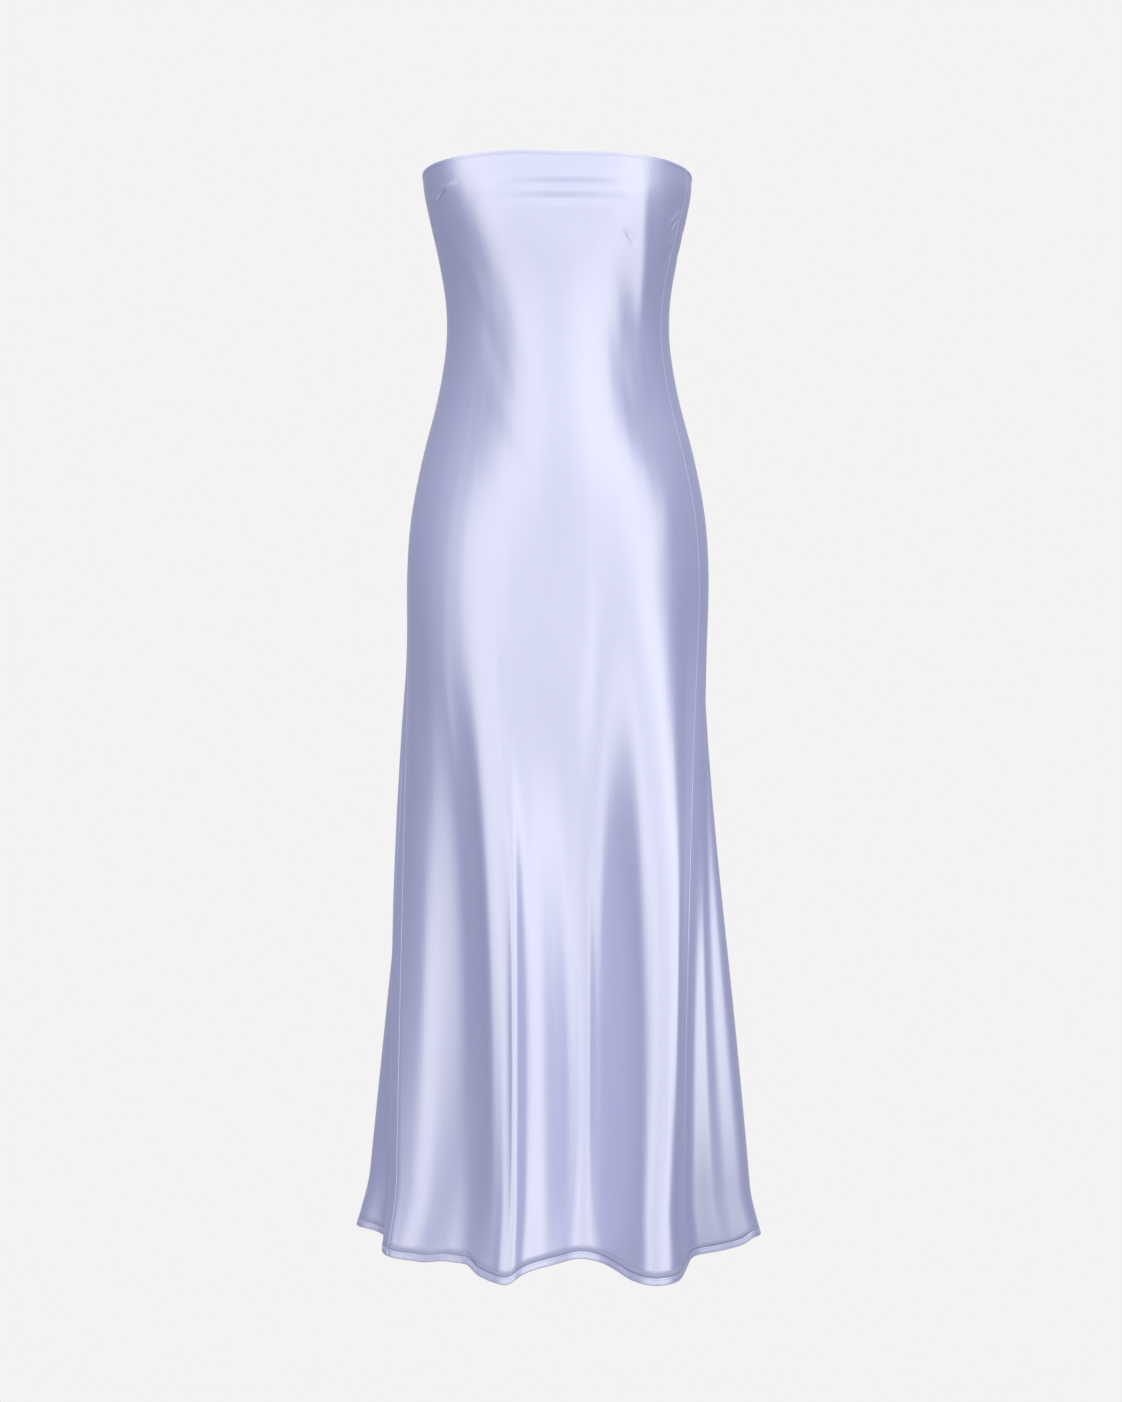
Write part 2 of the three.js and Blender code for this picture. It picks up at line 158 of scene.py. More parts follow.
# Creases listed one by one: each one's name, half width, height (a trough where it is negative) and
# path, which is a list of (girth, z). Both ends fade out.
CREASES = [
    ("drape end left", 7, 0.5, [(-20, 12), (-34, 4), (-44, -10)]),
    ("drape end right", 7, 0.5, [(24, 10), (36, 0), (42, -14)]),
    ("edge pull", 2.5, -0.35, [(-40, 30), (-30, 36), (-14, 37)]),
    ("left dart", 1.9, -2.6, [(-62, 4), (-68, -2), (-74, -11)]),
    ("left dart lip", 2.8, 1.7, [(-56, 11), (-62, 8), (-68, 3), (-75, -5)]),
    ("left pucker 1", 2.6, -1.8, [(-89, -18), (-83, -24), (-77, -30)]),
    ("left pucker 2", 3.0, -2.0, [(-89, -32), (-83, -40), (-77, -50)]),
    ("left pucker 3", 3.0, -1.4, [(-89, -50), (-84, -60), (-79, -72)]),
    ("left drag", 10, 0.5, [(-80, -20), (-66, -44), (-56, -84), (-50, -130)]),
    ("right dart", 1.9, -2.2, [(74, -18), (71, -27), (68, -36)]),
    ("right dart lip", 2.9, 1.6, [(73.5, -11), (70, -20), (66, -30)]),
    ("right pucker 1", 1.9, -1.1, [(74, -30), (71.5, -40), (70, -50)]),
    ("right pucker 2", 2.4, -0.8, [(74, -48), (72, -58), (70, -68)]),
    ("under bust drag", 3.4, -1.3, [(38, -43), (42, -49), (46, -56)]),
    ("bust streak", 10, 1.4, [(47, 14), (48, -20), (50.5, -50), (54.5, -90), (56, -135)]),
    ("long drag", 14, -0.7, [(38, -60), (48, -104), (58, -160), (66, -230)]),
    ("long drag lip", 14, 0.6, [(28, -70), (38, -120), (46, -180), (54, -250)]),
    ("waist drag left", 14, -0.5, [(-58, -100), (-48, -150), (-36, -200), (-22, -250)]),
    ("waist drag left lip", 16, 0.5, [(-36, -80), (-26, -140), (-12, -210), (4, -280)]),
    ("belly drag", 16, -0.7, [(-44, -240), (-24, -300), (-6, -380)]),
    ("hip drag right", 16, 0.8, [(66, -300), (58, -360), (46, -440)]),
    (
        "front dip 1", 6, -0.4,
        [(-22, -690), (-24, -747), (-25, -833), (-25, -919), (-24, -1005), (-23, -1080), (-23, -1156)],
    ),
    ("front dip 2", 8, -0.2, [(-10, -620), (-9.5, -760), (-10, -960), (-10, -1120)]),
    ("front ridge 2", 10, 0.3, [(3, -560), (2, -700), (2, -880), (2, -1120)]),
    ("back waist drag 1", 14, -1.2, [(128, -96), (146, -140), (166, -196)]),
    ("back waist drag 2", 14, -1.1, [(232, -90), (214, -136), (196, -200)]),
    ("back waist lip", 12, 0.9, [(140, -90), (158, -130), (176, -180)]),
    ("back hollow pull 1", 8, -1.0, [(150, -128), (178, -134), (208, -127)]),
    ("back hollow pull 2", 8, -0.8, [(156, -152), (182, -158), (204, -150)]),
    ("back hip drag 1", 16, -1.0, [(118, -250), (134, -330), (150, -440)]),
    ("back hip drag 2", 16, -1.0, [(244, -240), (226, -320), (206, -430)]),
    ("back edge pull", 5, -0.6, [(160, 22), (180, 19), (202, 22)]),
    ("back side pucker 1", 3, -0.7, [(79, -20), (90, -32), (102, -40)]),
    ("back side pucker 2", 3.6, -0.6, [(79, -44), (90, -56), (102, -66)]),
    ("back side pucker 3", 3, -0.7, [(266, -14), (256, -26), (246, -34)]),
    ("back side pucker 4", 3.6, -0.6, [(266, -40), (256, -52), (244, -62)]),
]
MM_PER_DEGREE = 2.25  # along the body, for the distance from a crease
CREASE_REACH = 3  # in half widths

# The cloth's own slight unevenness: tall waves of low height, once round and down the dress.
# count is how many go once round, lean how far they drift in degrees a millimetre of height.
RIPPLES = [
    {"count": 17, "lean": 0.020, "beat": 310.0, "height": 0.22, "phase": 0.4},
    {"count": 29, "lean": -0.013, "beat": 230.0, "height": 0.15, "phase": 2.1},
    {"count": 43, "lean": 0.007, "beat": 410.0, "height": 0.09, "phase": 4.4},
]
RIPPLE_CALM = {"from": 560, "to": 260, "share": 0.25}  # millimetres below zero; share left above

folds = {key: np.array([row[i] for row in FOLDS]) for i, key in enumerate(FOLD_COLUMNS) if i}
fold_names = [row[0] for row in FOLDS]
sections = {key: np.array([row[i] for row in SECTIONS])[::-1] for i, key in enumerate(SECTION_COLUMNS)}
COUNT = len(FOLDS)
fold_spans = np.hypot(
    np.roll(folds["hemX"], -1) - folds["hemX"], np.roll(folds["hemY"], -1) - folds["hemY"]
)
fold_places = np.concatenate([[0.0], np.cumsum(fold_spans)])
HEM_ROUND = float(fold_places[-1])


def between(s):
    """The fold before each place on the hem, the place within its span, and whole rounds."""
    rounds = np.floor(s / HEM_ROUND)
    place = s - rounds * HEM_ROUND
    i = np.clip(np.searchsorted(fold_places, place, side="right") - 1, 0, COUNT - 1)
    return i, (place - fold_places[i]) / fold_spans[i], rounds


def bending_curve(key):
    """A column of the folds' table as a closed curve with smooth bending."""
    value = folds[key].astype(float)
    low, high = np.roll(fold_spans, 1), fold_spans
    turn = (np.roll(value, -1) - value) / high - (value - np.roll(value, 1)) / low
    sums = np.diag(2 * (low + high))
    for i in range(COUNT):
        sums[i, (i - 1) % COUNT] += low[i]
        sums[i, (i + 1) % COUNT] += high[i]
    bend = np.linalg.solve(sums, 6 * turn)

    def curve(s):
        i, b, _ = between(s)
        a, j = 1 - b, (i + 1) % COUNT
        arch = (a**3 - a) * bend[i] + (b**3 - b) * bend[j]
        return a * value[i] + b * value[j] + arch * fold_spans[i] ** 2 / 6

    return curve


def steady_curve(key, turn=0.0):
    """A column as a closed curve that never passes its own values."""
    value = np.append(folds[key].astype(float), folds[key][0] + turn)
    rise = np.diff(value) / fold_spans
    before, width, width_before = np.roll(rise, 1), fold_spans, np.roll(fold_spans, 1)
    w1, w2 = 2 * width + width_before, width + 2 * width_before
    same = before * rise > 0
    safe = np.where(same, w1 / np.where(same, before, 1) + w2 / np.where(same, rise, 1), 1)
    slope = np.where(same, (w1 + w2) / safe, 0.0)

    def curve(s):
        i, t, rounds = between(s)
        u = 1 - t
        ends = value[i] * u * u * (1 + 2 * t) + value[i + 1] * t * t * (1 + 2 * u)
        lean = u * slope[i] - t * slope[(i + 1) % COUNT]
        return ends + fold_spans[i] * t * u * lean + rounds * turn

    return curve


girth_at = steady_curve("girth", 360.0)
start_at = steady_curve("start")
lift_at = steady_curve("lift")
mid_x, mid_y = bending_curve("midX"), bending_curve("midY")
hem_x, hem_y = bending_curve("hemX"), bending_curve("hemY")


def smooth(value, low, high):
    t = np.clip((value - low) / (high - low), 0, 1)
    return t * t * (3 - 2 * t)


def centred(girth):
    return girth - 360 * np.round(girth / 360)


def section(key, z):
    """A column of the sections' table at each height, on a smooth curve through its rows."""
    heights, value = sections["z"].astype(float), sections[key].astype(float)
    last = len(heights) - 1
    z = np.clip(z, heights[0], heights[-1])
    i = np.clip(np.searchsorted(heights, z, side="right") - 1, 0, last - 1)
    above, below = np.minimum(np.arange(last + 1) + 1, last), np.maximum(np.arange(last + 1) - 1, 0)
    slope = (value[above] - value[below]) / (heights[above] - heights[below])
    span = heights[i + 1] - heights[i]
    t = (z - heights[i]) / span
    u = 1 - t
    ends = value[i] * u * u * (1 + 2 * t) + value[i + 1] * t * t * (1 + 2 * u)
    return ends + span * t * u * (u * slope[i] - t * slope[i + 1])


def body_point(girth, z):
    angle = np.radians(girth)
    half = section("half", z)
    depth = np.where(np.cos(angle) >= 0, section("front", z), section("back", z))
    power = section("square", z)
    power = np.where(np.cos(angle) >= 0, power, np.maximum(power, 2))  # the back is never pointed
    reach = np.abs(np.sin(angle) / half) ** power + np.abs(np.cos(angle) / depth) ** power
    radius = reach ** (-1 / power)
    turned = centred(girth)
    for at, height, across, up, out in FORMS:
        radius = radius + out * np.exp(-(((turned - at) / across) ** 2) - ((z - height) / up) ** 2)
    return radius * np.sin(angle), -radius * np.cos(angle)


def growth(start, z):
    share = (start - z) / (start - HEM)
    return (share + np.hypot(share, FOLD_SOFTNESS)) / (1 + math.hypot(1, FOLD_SOFTNESS))


def top_edge(girth):
    turned = centred(girth)
    side = np.sin(np.radians(turned)) ** 6
    behind = np.maximum(0, -np.cos(np.radians(turned)))
    wave = (turned - EDGE_WAVE["girth"]) / EDGE_WAVE["spread"]
    lift = EDGE_WAVE["rise"] * np.exp(-wave * wave)
    return TOP + lift - SIDE_DIP * np.where(behind > 0, 1, side) - BACK_DIP * behind * behind


def edge_height(girth, z):
    """The height z shifted with the top edge, which dies out further down."""
    return z + (top_edge(girth) - TOP) * smooth(z, EDGE_SHAPE_LOW, TOP)


def surface(s, z):
    """Points of the dress's outer face, where s is the distance along the hem."""
    s, z = np.broadcast_arrays(s, z)
    girth = girth_at(s)
    low = smooth(-z, -HEM - LIFT_HEIGHT, -HEM)
    height = edge_height(girth, z) + lift_at(s) * low
    body_x, body_y = body_point(girth, height)
    grown, half = growth(start_at(s), height), growth(start_at(s), MID)
    body = (half - grown) * (1 - grown) / half
    mid = grown * (1 - grown) / (half * (1 - half))
    hem = grown * (grown - half) / (1 - half)
    kick = 1 + HEM_KICK * smooth(-height, -HEM - KICK_HEIGHT, -HEM)
    x = (body * body_x + mid * mid_x(s) + hem * hem_x(s)) * kick
    y = body * body_y + mid * mid_y(s) + hem * hem_y(s)
    return np.stack([x, y, height], -1)


def unit(v):
    return v / np.linalg.norm(v, axis=-1, keepdims=True)


def sideways(s, z):
    return surface(s + PROBE, z) - surface(s - PROBE, z)


def outward(s, z):
    up = surface(s, np.minimum(z + PROBE, TOP)) - surface(s, z - PROBE)
    return unit(np.cross(sideways(s, z), up))


def crease_relief(girth, z):
    """How far each point stands out for the listed creases."""
    relief = np.zeros_like(z, dtype=float)
    for _, width, height, path in CREASES:
        path = np.array(path, float)
        fine = np.linspace(0, len(path) - 1, 12 * (len(path) - 1) + 1)
        base = np.arange(len(path))
        if len(path) > 2:
            bend = np.polyfit(base, path, min(3, len(path) - 1))
            along = np.stack([np.polyval(bend[:, k], fine) for k in (0, 1)], -1)
        else:
            along = np.stack([np.interp(fine, base, path[:, k]) for k in (0, 1)], -1)
        low, high = along.min(0), along.max(0)
        reach = CREASE_REACH * width
        turned = girth - 360 * np.round((girth - along[:, 0].mean()) / 360)
        near = (turned > low[0] - reach / 2) & (turned < high[0] + reach / 2)
        near &= (z > low[1] - reach) & (z < high[1] + reach)
        if not near.any():
            continue
        across = (turned[near][:, None] - along[None, :, 0]) * MM_PER_DEGREE
        away = np.hypot(across, z[near][:, None] - along[None, :, 1])
        nearest = away.argmin(1)
        share = fine[nearest] / fine[-1]
        fade = np.sin(np.pi * np.clip(share * 0.92 + 0.04, 0, 1)) ** 0.7
        relief[near] += height * fade * np.exp(-((away.min(1) / width) ** 2))
    return relief


def ripple_relief(girth, z):
    relief = np.zeros_like(z, dtype=float)
    for wave in RIPPLES:
        swing = np.radians(wave["count"] * (girth + wave["lean"] * z)) + wave["phase"]
        swing = swing + 1.3 * np.sin(z / wave["beat"] + wave["phase"])
        relief += wave["height"] * np.sin(swing) * (0.55 + 0.45 * np.sin(z / 97.0 + wave["phase"]))
    kept = RIPPLE_CALM["share"]
    return relief * (kept + (1 - kept) * smooth(-z, RIPPLE_CALM["to"], RIPPLE_CALM["from"]))


def pucker_wave(at, shape):
    """Small puckers whose beat drifts to and fro."""
    return np.sin(at / shape["beat"] + shape["drift"] * np.sin(at / shape["sway"]))


def sunk_line(away, wide):
    """1 on a sewn line, and falling off softly to both sides."""
    return np.exp(-((away / wide) ** 2))


def seam_relief(from_seam, z):
    """The sewn seam sinks in, and puckers a little beside it."""
    shape = SEAM_PUCKER
    pucker = shape["height"] * pucker_wave(z, shape) * (0.6 + 0.4 * np.sin(z / 61.0))
    beside = np.exp(-from_seam / shape["reach"]) * np.clip(from_seam / shape["clear"], 0, 1)
    return pucker * beside - SEAM["sunk"] * sunk_line(from_seam, SEAM["wide"])


def spread(low, high, step):
    return np.linspace(low, high, max(2, int(round(abs(high - low) / step)) + 1))


def columns_of(start, end, step, fine=None):
    """Places along the hem for the columns of a panel, close together beside the seams.

    fine is a smaller step, and how far it is kept from the start and from the end."""
    edge = np.array(SEAM_COLUMNS[:-1])
    low, high = start + SEAM_COLUMNS[-1], end - SEAM_COLUMNS[-1]
    if fine:
        small, left, right = fine
        sides = spread(low, start + left, small)[:-1], spread(end - right, high, small)[1:]
        middle = np.concatenate([sides[0], spread(start + left, end - right, step), sides[1]])
    else:
        middle = spread(low, high, step)
    return np.concatenate([start + edge, middle, (end - edge)[::-1]])


def rows_of(steps):
    rows = [spread(high, low, step)[:-1] for high, low, step in steps]
    return np.concatenate([*rows, [steps[-1][1]]])


def make_mesh(name, points, faces, uv=None):
    mesh = bpy.data.meshes.new(name)
    mesh.from_pydata((np.asarray(points) * MM).tolist(), [], faces)
    mesh.update()
    if uv is not None:
        layer = mesh.uv_layers.new(name="cloth")
        loops = np.empty(len(mesh.loops), dtype=np.int32)
        mesh.loops.foreach_get("vertex_index", loops)
        layer.data.foreach_set("uv", np.asarray(uv)[loops].astype(np.float32).ravel())
    mesh.polygons.foreach_set("use_smooth", [True] * len(mesh.polygons))
    thing = bpy.data.objects.new(name, mesh)
    bpy.context.scene.collection.objects.link(thing)
    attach(thing, "root")
    return thing


def rounded_edge(middle, out, radius):
    """The facets of a rounded cloth edge. A negative radius turns it downwards and back."""
    up = np.array([0.0, 0.0, 1.0])
    turns = np.radians(CAP_ANGLES)
    return [(middle + radius * (math.cos(a) * out + math.sin(a) * up))[None] for a in turns]


def cloth_wall(name, places, rows, relief, proud=0.0, thick=WALL, round_low=False):
    """A closed shell of cloth over the grid of places and rows, with a rounded top edge.

    Its rows run up the outer face, over the edge, down the inner face and, with round_low,
    round the lower edge too."""
    s, z = np.meshgrid(places, rows)
    base, out, side = surface(s, z), outward(s, z), unit(sideways(s, z))
    inset = np.zeros_like(s)
    inset[:, 0], inset[:, -1] = SEAM_GAP / 2, -SEAM_GAP / 2
    outer = base + side * inset[..., None] + out * (proud + relief)[..., None]
    inner = outer - out * thick
    bands = [outer[::-1], *rounded_edge((outer[0] + inner[0]) / 2, out[0], thick / 2), inner]
    heights = [rows[::-1], [rows[0]] * CAP_ROWS, rows]
    if round_low:
        bands += rounded_edge((outer[-1] + inner[-1]) / 2, out[-1], -thick / 2)
        heights.append([rows[-1]] * CAP_ROWS)
    grid, heights = np.concatenate(bands), np.concatenate(heights)
    tall, wide = grid.shape[:2]
    steps = np.linalg.norm(np.diff(base[len(rows) // 2], axis=0), axis=1)
    across = np.concatenate([[0.0], np.cumsum(steps)])
    uv = np.stack(np.broadcast_arrays(across[None, :], heights[:, None]), -1).reshape(-1, 2) * MM
    faces = []
    for j in range(tall):
        k = (j + 1) % tall
        a, b = j * wide, k * wide
        for i in range(wide - 1):
            faces.append((a + i, a + i + 1, b + i + 1, b + i))
    last = len(rows) - 1  # the outer face's top row, as it runs upwards
    inner_end = 2 * last + 1 + CAP_ROWS
    for i, turned in ((0, False), (wide - 1, True)):
        loops = []
        for j in range(last):
            facing = inner_end - j
            loops.append(tuple(row * wide + i for row in (j, j + 1, facing - 1, facing)))
        loops.append(tuple((last + k) * wide + i for k in range(CAP_ROWS + 2)))
        if round_low:
            low = range(tall - CAP_ROWS, tall)
            loops.append(tuple(row * wide + i for row in (0, inner_end, *low)))
        faces += [tuple(reversed(loop)) if turned else loop for loop in loops]
    return make_mesh(name, grid.reshape(-1, 3), faces, uv)


seam_places = {name: float(fold_places[fold_names.index(name)]) for name in ("left seam", "right seam")}
FRONT = (seam_places["left seam"], seam_places["right seam"])
BACK = (seam_places["right seam"], seam_places["left seam"] + HEM_ROUND)
PANEL_END = HEM + HEM_DEPTH + SEAM_GAP


def panel(name, span, step, row_steps, fine=None):
    places, rows = columns_of(*span, step, fine), rows_of(row_steps)
    s, z = np.meshgrid(places, rows)
    girth = girth_at(s)
    height = edge_height(girth, z)
    from_seam = np.minimum(s - span[0], span[1] - s)
    relief = crease_relief(girth, height) + ripple_relief(girth, height)
    relief = relief * smooth(from_seam, 0, SEAM["creases_from"]) + seam_relief(from_seam, height)
    below_top, roll = TOP - z, EDGE_ROLL["height"]
    relief += EDGE_ROLL["proud"] * (1 - smooth(below_top, roll - EDGE_ROLL["soft"], roll))
    below_groove = below_top - roll - EDGE_GROOVE["below_roll"]
    relief -= EDGE_GROOVE["sunk"] * sunk_line(below_groove, EDGE_GROOVE["wide"])
    relief *= 1 - HEM_CALM["share"] * smooth(-z, -HEM - HEM_CALM["height"], -HEM)
    return cloth_wall(name, places, rows, relief)


# Rows of the panels: from, to and step. The front's are close where the drape lines lie.
FRONT_ROWS = [(TOP, TOP - 8, 0.8), (TOP - 8, -64, 1.6), (-64, -330, 6.0), (-330, PANEL_END, 9.2)]
BACK_ROWS = [(TOP, TOP - 8, 0.9), (TOP - 8, -60, 3.0), (-60, -330, 6.0), (-330, PANEL_END, 6.6)]
front = panel("front_satin", FRONT, 2.9, FRONT_ROWS, fine=(1.5, 90, 108))
back = panel("back_satin", BACK, 4.7, BACK_ROWS)
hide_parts("front_panel")
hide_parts("back_panel")


def hem_band(name, span, step):
    """The turned hem, slightly uneven where its needle holes draw it in."""
    places, rows = columns_of(*span, step), HEM + np.array(HEM_ROWS)
    s, z = np.meshgrid(places, rows)
    sunk = NEEDLE["sunk"] * sunk_line(z - HEM - NEEDLE["up"], NEEDLE["wide"])
    puckers = HEM_PUCKER["height"] * pucker_wave(s, HEM_PUCKER) * smooth(-z, -HEM - HEM_DEPTH, -HEM)
    from_seam = np.minimum(s - span[0], span[1] - s)
    relief = puckers - sunk - SEAM["sunk_at_hem"] * sunk_line(from_seam, SEAM["wide"])
    return cloth_wall(name, places, rows, relief, proud=HEM_PROUD, thick=HEM_WALL, round_low=True)


front_hem = hem_band("front_hem_fold", FRONT, 1.9)
back_hem = hem_band("back_hem_fold", BACK, 2.4)
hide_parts("front_hem")
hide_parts("back_hem")

STITCH = {"length": 2.1, "pitch": 2.9, "wide": 0.42, "high": 0.34, "sunk": 0.12, "from_seam": 1.2}
STITCH_RINGS = ((-0.5, 0.35), (-0.3, 1.0), (0.3, 1.0), (0.5, 0.35))  # place along it and size
STITCH_SIDES = 6
HEM_SAMPLES = 2400  # places at which the hem's length is measured


def stitches(name, span):
    """A row of lockstitches round the hem, each a small raised lozenge of thread."""
    samples = np.linspace(span[0] + STITCH["from_seam"], span[1] - STITCH["from_seam"], HEM_SAMPLES)
    line = surface(samples, np.full_like(samples, HEM + NEEDLE["up"]))
    run = np.concatenate([[0.0], np.cumsum(np.linalg.norm(np.diff(line, axis=0), axis=1))])
    count = int(run[-1] // STITCH["pitch"])
    middles = np.interp((np.arange(count) + 0.5) * run[-1] / count, run, samples)
    z = np.full_like(middles, HEM + NEEDLE["up"])
    out, side = outward(middles, z), unit(sideways(middles, z))
    up = np.cross(out, side)
    centre = surface(middles, z) + out * (HEM_PROUD - STITCH["sunk"])
    points, faces = [], []
    for k in range(count):
        base = len(points)
        for along, size in STITCH_RINGS:
            for turn in range(STITCH_SIDES):
                a = math.tau * turn / STITCH_SIDES
                points.append(
                    centre[k]
                    + side[k] * along * STITCH["length"]
                    + up[k] * math.cos(a) * STITCH["wide"] / 2 * size
                    + out[k] * math.sin(a) * STITCH["high"] * size
                )
        last = len(points) - STITCH_SIDES
        for ring in range(base, last, STITCH_SIDES):
            for turn in range(STITCH_SIDES):
                a, b = ring + turn, ring + (turn + 1) % STITCH_SIDES
                faces.append((a, b, b + STITCH_SIDES, a + STITCH_SIDES))
        faces.append(tuple(base + turn for turn in range(STITCH_SIDES))[::-1])
        faces.append(tuple(last + turn for turn in range(STITCH_SIDES)))
    return make_mesh(name, points, faces)


front_stitches = stitches("front_hem_stitches", FRONT)
back_stitches = stitches("back_hem_stitches", BACK)


def node_tree(owner):
    owner.use_nodes = True
    tree = owner.node_tree
    tree.nodes.clear()
    return tree


def add_node(tree, kind, **inputs):
    node = tree.nodes.new(kind)
    for key, value in inputs.items():
        node.inputs[key].default_value = value
    return node


def maths(tree, operation, a, b=None, clamp=False):
    node = tree.nodes.new("ShaderNodeMath")
    node.operation = operation
    node.use_clamp = clamp
    for socket, value in zip(node.inputs, (a, b)):
        if value is None:
            continue
        if isinstance(value, (int, float)):
            socket.default_value = value
        else:
            tree.links.new(value, socket)
    return node.outputs[0]


def mixed_colours(tree, factor, a, b):
    mix = tree.nodes.new("ShaderNodeMix")
    mix.data_type = "RGBA"
    mix.inputs["A"].default_value = (*a, 1)
    mix.inputs["B"].default_value = (*b, 1)
    tree.links.new(factor, mix.inputs["Factor"])
    return mix.outputs["Result"]


def map_range(tree, value, low, high, to_low=0.0, to_high=1.0, soft=True):
    """A value carried from one range to another, straight or with soft ends."""
    node = tree.nodes.new("ShaderNodeMapRange")
    if soft:
        node.interpolation_type = "SMOOTHSTEP"
    for key, number in (("From Min", low), ("From Max", high), ("To Min", to_low), ("To Max", to_high)):
        node.inputs[key].default_value = number
    tree.links.new(value, node.inputs["Value"])
    return node.outputs["Result"]


def thread_noise(tree, vector, scale, **settings):
    """Noise drawn out along the threads, which lie on the bias."""
    bias = tree.nodes.new("ShaderNodeMapping")
    bias.inputs["Rotation"].default_value = (0, 0, math.radians(BIAS))
    bias.inputs["Scale"].default_value = (*scale, 1)
    tree.links.new(vector, bias.inputs["Vector"])
    noise = add_node(tree, "ShaderNodeTexNoise", Scale=1.0, **settings)
    tree.links.new(bias.outputs["Vector"], noise.inputs["Vector"])
    return noise.outputs["Fac"]


BIAS = 45
FLOATS = (2600, 240)  # threads a metre across, and their breaks along
SLUBS = (420, 26)  # the same for thicker places in the yarn
FLOAT_HEIGHT = 0.0003
SLUB_HEIGHT = 0.0008
DARKER, LIGHTER = 0.965, 1.02  # the dye's unevenness


def satin(name, base, roughness, twill):
    """Charmeuse satin: a smooth lustrous face, with floats of thread that lie on the bias."""
    material = bpy.data.materials.new(name)
    tree = node_tree(material)
    links = tree.links
    output = tree.nodes.new("ShaderNodeOutputMaterial")
    shader = tree.nodes.new("ShaderNodeBsdfPrincipled")
    shader.inputs["Metallic"].default_value = 0.0
    shader.inputs["Sheen Weight"].default_value = 0.12
    shader.inputs["Sheen Roughness"].default_value = 0.35
    shader.inputs["IOR"].default_value = 2.2
    shader.inputs["Specular IOR Level"].default_value = 1.0
    links.new(shader.outputs["BSDF"], output.inputs["Surface"])

    uv = tree.nodes.new("ShaderNodeUVMap")
    uv.uv_map = "cloth"
    place = tree.nodes.new("ShaderNodeTexCoord")
    floats = thread_noise(tree, uv.outputs["UV"], FLOATS, Detail=2.0, Roughness=0.5)
    slubs = thread_noise(tree, uv.outputs["UV"], SLUBS, Detail=3.0, Roughness=0.55)
    clouds = add_node(tree, "ShaderNodeTexNoise", Scale=9.0, Detail=3.0, Roughness=0.5)
    links.new(place.outputs["Object"], clouds.inputs["Vector"])
    clouds = clouds.outputs["Fac"]

    shade = maths(tree, "ADD", maths(tree, "MULTIPLY", clouds, 0.6), maths(tree, "MULTIPLY", slubs, 0.4))
    dark, light = [c * DARKER for c in base], [min(c * LIGHTER, 1) for c in base]
    links.new(mixed_colours(tree, shade, dark, light), shader.inputs["Base Color"])

    rough = roughness
    for noise, swing in ((clouds, 0.10), (slubs, 0.06)):
        uneven = maths(tree, "MULTIPLY", maths(tree, "SUBTRACT", noise, 0.5), swing)
        rough = maths(tree, "ADD", uneven, rough)
    links.new(rough, shader.inputs["Roughness"])

    fine = add_node(tree, "ShaderNodeBump", Strength=twill, Distance=FLOAT_HEIGHT)
    links.new(floats, fine.inputs["Height"])
    wide = add_node(tree, "ShaderNodeBump", Strength=0.10, Distance=SLUB_HEIGHT)
    links.new(slubs, wide.inputs["Height"])
    links.new(fine.outputs["Normal"], wide.inputs["Normal"])
    links.new(wide.outputs["Normal"], shader.inputs["Normal"])
    return material


def sewing_thread(name, dark, light):
    """A dull twisted thread, a little lighter than the cloth."""
    material = bpy.data.materials.new(name)
    tree = node_tree(material)
    output = tree.nodes.new("ShaderNodeOutputMaterial")
    shader = tree.nodes.new("ShaderNodeBsdfPrincipled")
    shader.inputs["Sheen Weight"].default_value = 0.3
    place = tree.nodes.new("ShaderNodeTexCoord")
    twist = add_node(tree, "ShaderNodeTexNoise", Scale=900.0, Detail=2.0)
    tree.links.new(place.outputs["Object"], twist.inputs["Vector"])
    twist = twist.outputs["Fac"]
    tree.links.new(mixed_colours(tree, twist, dark, light), shader.inputs["Base Color"])
    rough = maths(tree, "ADD", maths(tree, "MULTIPLY", twist, 0.2), 0.4)
    tree.links.new(rough, shader.inputs["Roughness"])
    tree.links.new(shader.outputs["BSDF"], output.inputs["Surface"])
    return material


LAVENDER = (0.262, 0.276, 0.50)
cloth = satin("satin_face", LAVENDER, roughness=0.31, twill=0.05)
hem_cloth = satin("satin_hem", [c * 0.97 for c in LAVENDER], roughness=0.36, twill=0.09)
thread = sewing_thread("thread", (0.46, 0.48, 0.68), (0.60, 0.62, 0.83))

for thing, material in (
    (front, cloth),
    (back, cloth),
    (front_hem, hem_cloth),
    (back_hem, hem_cloth),
    (front_stitches, thread),
    (back_stitches, thread),
):
    thing.data.materials.append(material)

# A plain pale floor, well below the hem.
FLOOR = {"half": 1.6, "height": -1.95, "grey": 0.42, "roughness": 0.8}
floor_mesh = bpy.data.meshes.new("floor")
corners = [(-1, -1), (1, -1), (1, 1), (-1, 1)]
floor_points = [(i * FLOOR["half"], j * FLOOR["half"], FLOOR["height"]) for i, j in corners]
floor_mesh.from_pydata(floor_points, [], [(0, 1, 2, 3)])
floor = bpy.data.objects.new("floor", floor_mesh)
bpy.context.scene.collection.objects.link(floor)
paint = bpy.data.materials.new("floor_paint")
paint_tree = node_tree(paint)
paint_out = paint_tree.nodes.new("ShaderNodeOutputMaterial")
paint_shader = add_node(paint_tree, "ShaderNodeBsdfPrincipled", Roughness=FLOOR["roughness"])
paint_shader.inputs["Base Color"].default_value = (*[FLOOR["grey"]] * 3, 1)
paint_tree.links.new(paint_shader.outputs["BSDF"], paint_out.inputs["Surface"])
floor_mesh.materials.append(paint)

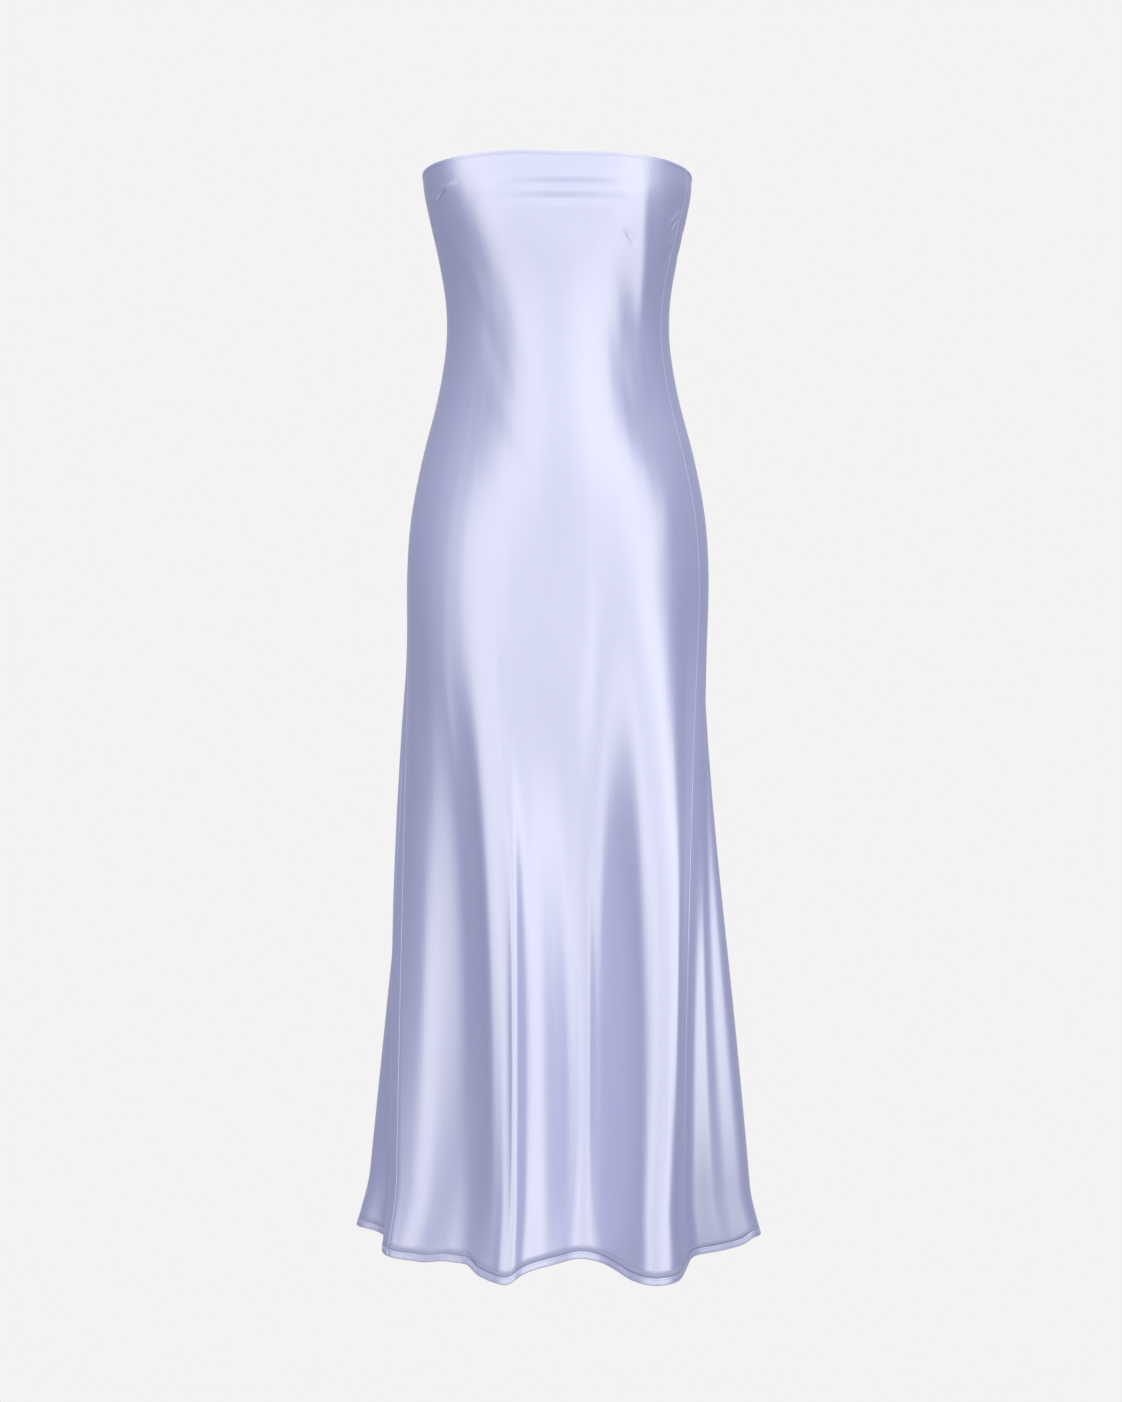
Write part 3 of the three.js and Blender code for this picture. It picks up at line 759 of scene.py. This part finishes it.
# The studio: wide soft light from the front, dim at the sides, seen as a plain pale backdrop.
# AROUND holds the light's level by degrees from the front. WARM is the tint where it is strong
# and COOL where it is weak.
AROUND = [
    (0, 0.74), (22, 0.80), (42, 1.0), (56, 0.96), (68, 0.50), (80, 0.22),
    (110, 0.18), (140, 0.20), (180, 0.26),
]
STRENGTH = 1.9
TINT_GAIN = 1.4
COOL, WARM = (0.80, 0.82, 1.0), (1.0, 1.0, 0.965)
BACKDROP = 0.896
world = bpy.data.worlds.new("studio")
bpy.context.scene.world = world
tree = node_tree(world)
links = tree.links
place = tree.nodes.new("ShaderNodeTexCoord")
split = tree.nodes.new("ShaderNodeSeparateXYZ")
links.new(place.outputs["Generated"], split.inputs["Vector"])
x, y, z = split.outputs
azimuth = maths(tree, "ABSOLUTE", maths(tree, "ARCTAN2", x, maths(tree, "MULTIPLY", y, -1.0)))
ramp = tree.nodes.new("ShaderNodeFloatCurve")
curve = ramp.mapping.curves[0]
while len(curve.points) < len(AROUND):
    curve.points.new(0.5, 0.5)
for point, (degrees, value) in zip(curve.points, AROUND):
    point.location = (degrees / 180, value)
    point.handle_type = "AUTO_CLAMPED"
ramp.mapping.update()
links.new(maths(tree, "DIVIDE", azimuth, math.pi), ramp.inputs["Value"])
side = map_range(tree, x, -0.7, 0.1, 0.90, 1.0, soft=False)
rise = map_range(tree, z, -0.35, 0.5, 0.96, 1.16)
# A soft light high behind, which leaves the front as it is.
behind, overhead = map_range(tree, y, -0.1, 0.6, 0.0, 1.5), map_range(tree, z, 0.35, 0.75)
level = maths(tree, "MULTIPLY", maths(tree, "MULTIPLY", ramp.outputs["Value"], rise), side)
level = maths(tree, "ADD", level, maths(tree, "MULTIPLY", behind, overhead))
light = tree.nodes.new("ShaderNodeBackground")
strong = maths(tree, "MULTIPLY", level, TINT_GAIN, clamp=True)
links.new(mixed_colours(tree, strong, COOL, WARM), light.inputs["Color"])
links.new(maths(tree, "MULTIPLY", level, STRENGTH), light.inputs["Strength"])
plain = add_node(tree, "ShaderNodeBackground", Color=(*[BACKDROP] * 3, 1), Strength=1.0)
path = tree.nodes.new("ShaderNodeLightPath")
blend = tree.nodes.new("ShaderNodeMixShader")
links.new(path.outputs["Is Camera Ray"], blend.inputs["Fac"])
links.new(light.outputs["Background"], blend.inputs[1])
links.new(plain.outputs["Background"], blend.inputs[2])
world_out = tree.nodes.new("ShaderNodeOutputWorld")
links.new(blend.outputs["Shader"], world_out.inputs["Surface"])

bpy.context.scene.view_settings.view_transform = "Standard"
bpy.context.scene.view_settings.look = "None"

CAMERA = {"lens": 61.9, "sensor": 36, "place": (0.0034, -2.7, -0.553)}
camera_data = bpy.data.cameras.new("camera")
camera_data.lens = CAMERA["lens"]
camera_data.sensor_width = CAMERA["sensor"]
camera = bpy.data.objects.new("camera", camera_data)
bpy.context.scene.collection.objects.link(camera)
camera.location = CAMERA["place"]
camera.rotation_euler = (math.radians(90), 0, 0)
bpy.context.scene.camera = camera
